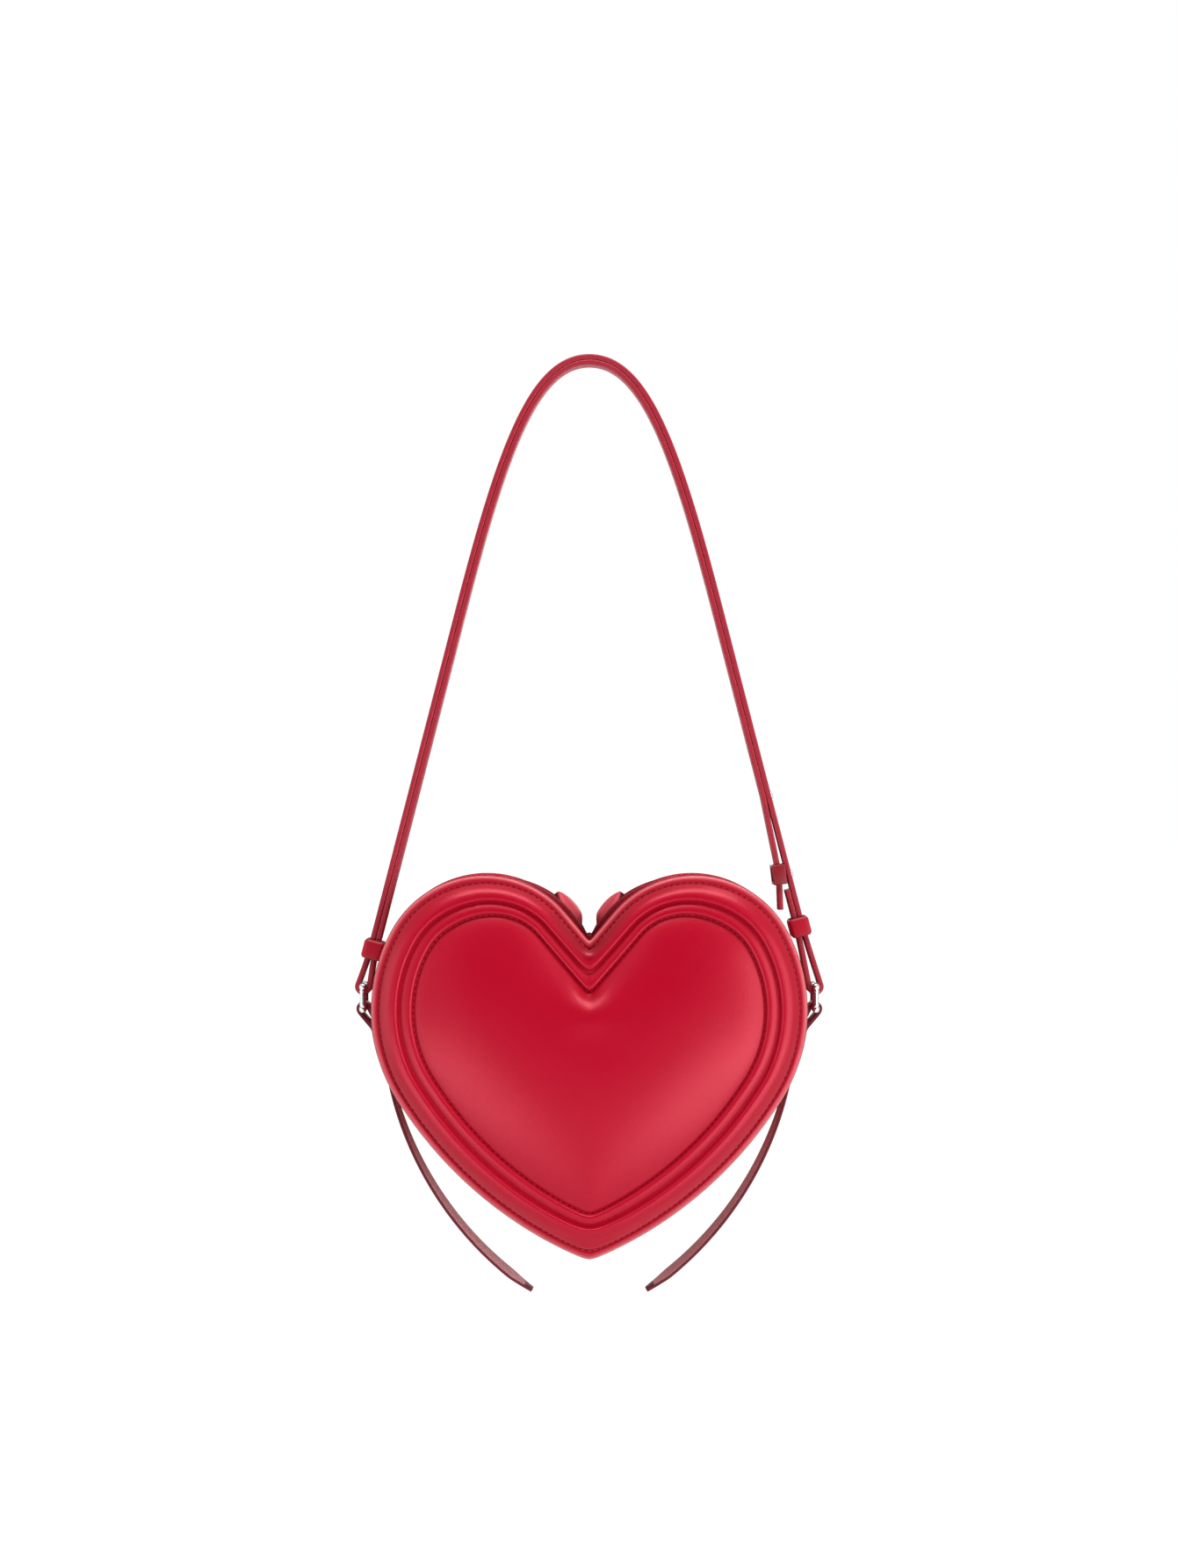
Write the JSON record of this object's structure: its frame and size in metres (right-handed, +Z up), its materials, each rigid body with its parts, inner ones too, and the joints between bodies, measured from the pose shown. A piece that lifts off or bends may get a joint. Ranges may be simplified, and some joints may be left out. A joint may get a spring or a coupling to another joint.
{
  "type": "heart shaped shoulder purse",
  "caption": "Heart shaped leather shoulder purse with moulded padded panels, a zip in its cleft, leaf shaped zip pulls, hanging tails and an arched leather strap on metal rings.",
  "frame": {"origin": "under the middle of the strap, where a shoulder or a hook holds the purse", "axes": "+X across the heart to the right, -Y out of the front panel, +Z up"},
  "size_m": [0.2262, 0.0698, 0.4527],
  "materials": {
    "red_leather": "smooth, half gloss",
    "moulded_leather": "smooth, half gloss, moulded over foam",
    "strap_leather": "smooth, with painted dark edges",
    "tail_leather": "smooth, with painted dark edges",
    "piping": "smooth",
    "metal": "polished",
    "zip_teeth": "brushed",
    "slider": "polished",
    "tape": "woven",
    "lining": "woven",
    "foam": "matt",
    "board": "matt"
  },
  "bodies": {
    "strap": {"outer_strap": "strap_leather", "inner_strap": "strap_leather", "strap_slide": "metal", "upper_stud": "metal", "lower_stud": "metal"},
    "ring_left": {"left_ring": "metal"},
    "ring_right": {"right_ring": "metal"},
    "bag": {"back_panel": "moulded_leather", "back_foam": "foam", "back_board": "board", "back_lining": "lining", "back_piping": "piping", "base_gusset": "red_leather", "gusset_lining": "lining", "back_zip_strip": "red_leather", "back_zip_tape": "tape", "back_zip_teeth": "zip_teeth", "zip_stops": "zip_teeth", "left_ring_tab": "red_leather", "right_ring_tab": "red_leather"},
    "front_shell": {"front_panel": "moulded_leather", "front_foam": "foam", "front_board": "board", "front_lining": "lining", "front_piping": "piping", "front_zip_strip": "red_leather", "front_zip_tape": "tape", "front_zip_teeth": "zip_teeth"},
    "keeper_left": {"left_keeper": "strap_leather"},
    "keeper_right": {"right_keeper": "strap_leather"},
    "slider_left": {"left_slider": "slider"},
    "slider_right": {"right_slider": "slider"},
    "pull_left": {"left_pull_link": "metal", "left_pull_leaf": "red_leather"},
    "pull_right": {"right_pull_link": "metal", "right_pull_leaf": "red_leather"},
    "tail_left": {"left_tail": "tail_leather"},
    "tail_right": {"right_tail": "tail_leather"}
  },
  "joints": [
    {"name": "bag_sway", "type": "slide", "parent": "strap", "child": "bag", "axis": [1, 0, 0], "range_m": [-0.0016, 0.0016], "stiffness_N_per_m": 300},
    {"name": "ring_left_swing", "type": "hinge", "parent": "strap", "child": "ring_left", "pos_m": [-0.10901, 0, -0.3], "axis": [0, 1, 0], "range_deg": [-9, 9]},
    {"name": "ring_right_swing", "type": "hinge", "parent": "strap", "child": "ring_right", "pos_m": [0.10901, 0, -0.3], "axis": [0, 1, 0], "range_deg": [-9, 9]},
    {"name": "mouth_open", "type": "hinge", "parent": "bag", "child": "front_shell", "pos_m": [0, -0.0217, -0.42768], "axis": [1, 0, 0], "range_deg": [0, 6], "stiffness_Nm_per_rad": 0.4, "springref_deg": -14.9},
    {"name": "keeper_left_slide", "type": "slide", "parent": "strap", "child": "keeper_left", "axis": [0.2504, 0, 0.9681], "range_m": [0, 0.03]},
    {"name": "keeper_right_slide", "type": "slide", "parent": "strap", "child": "keeper_right", "axis": [-0.2504, 0, 0.9681], "range_m": [0, 0.006]},
    {"name": "zip_left", "type": "hinge", "parent": "bag", "child": "slider_left", "pos_m": [-0.0504, 0, -0.29625], "axis": [0, -1, 0], "range_deg": [0, 80], "deforming": ["front_zip_teeth", "back_zip_teeth", "front_zip_tape", "back_zip_tape"]},
    {"name": "zip_right", "type": "hinge", "parent": "bag", "child": "slider_right", "pos_m": [0.0504, 0, -0.29625], "axis": [0, 1, 0], "range_deg": [0, 80], "deforming": ["front_zip_teeth", "back_zip_teeth", "front_zip_tape", "back_zip_tape"]},
    {"name": "pull_left_turn", "type": "hinge", "parent": "slider_left", "child": "pull_left", "pos_m": [-0.00436, 0, -0.2737], "axis": [0, 1, 0], "range_deg": [0, 42]},
    {"name": "pull_right_turn", "type": "hinge", "parent": "slider_right", "child": "pull_right", "pos_m": [0.00436, 0, -0.2737], "axis": [0, -1, 0], "range_deg": [0, 42]},
    {"name": "tail_left_bend", "type": "hinge", "parent": "bag", "child": "tail_left", "pos_m": [-0.09759, 0, -0.3386], "axis": [0, 1, 0], "range_deg": [-3, 20], "stiffness_Nm_per_rad": 0.02, "springref_deg": -1.72},
    {"name": "tail_right_bend", "type": "hinge", "parent": "bag", "child": "tail_right", "pos_m": [0.09759, 0, -0.3386], "axis": [0, -1, 0], "range_deg": [-3, 20], "stiffness_Nm_per_rad": 0.02, "springref_deg": -1.72}
  ],
  "couplings": [
    {"joint": "ring_left_swing", "follows": "bag_sway", "rad_per_m": -94.34},
    {"joint": "ring_right_swing", "follows": "bag_sway", "rad_per_m": -94.34}
  ]
}
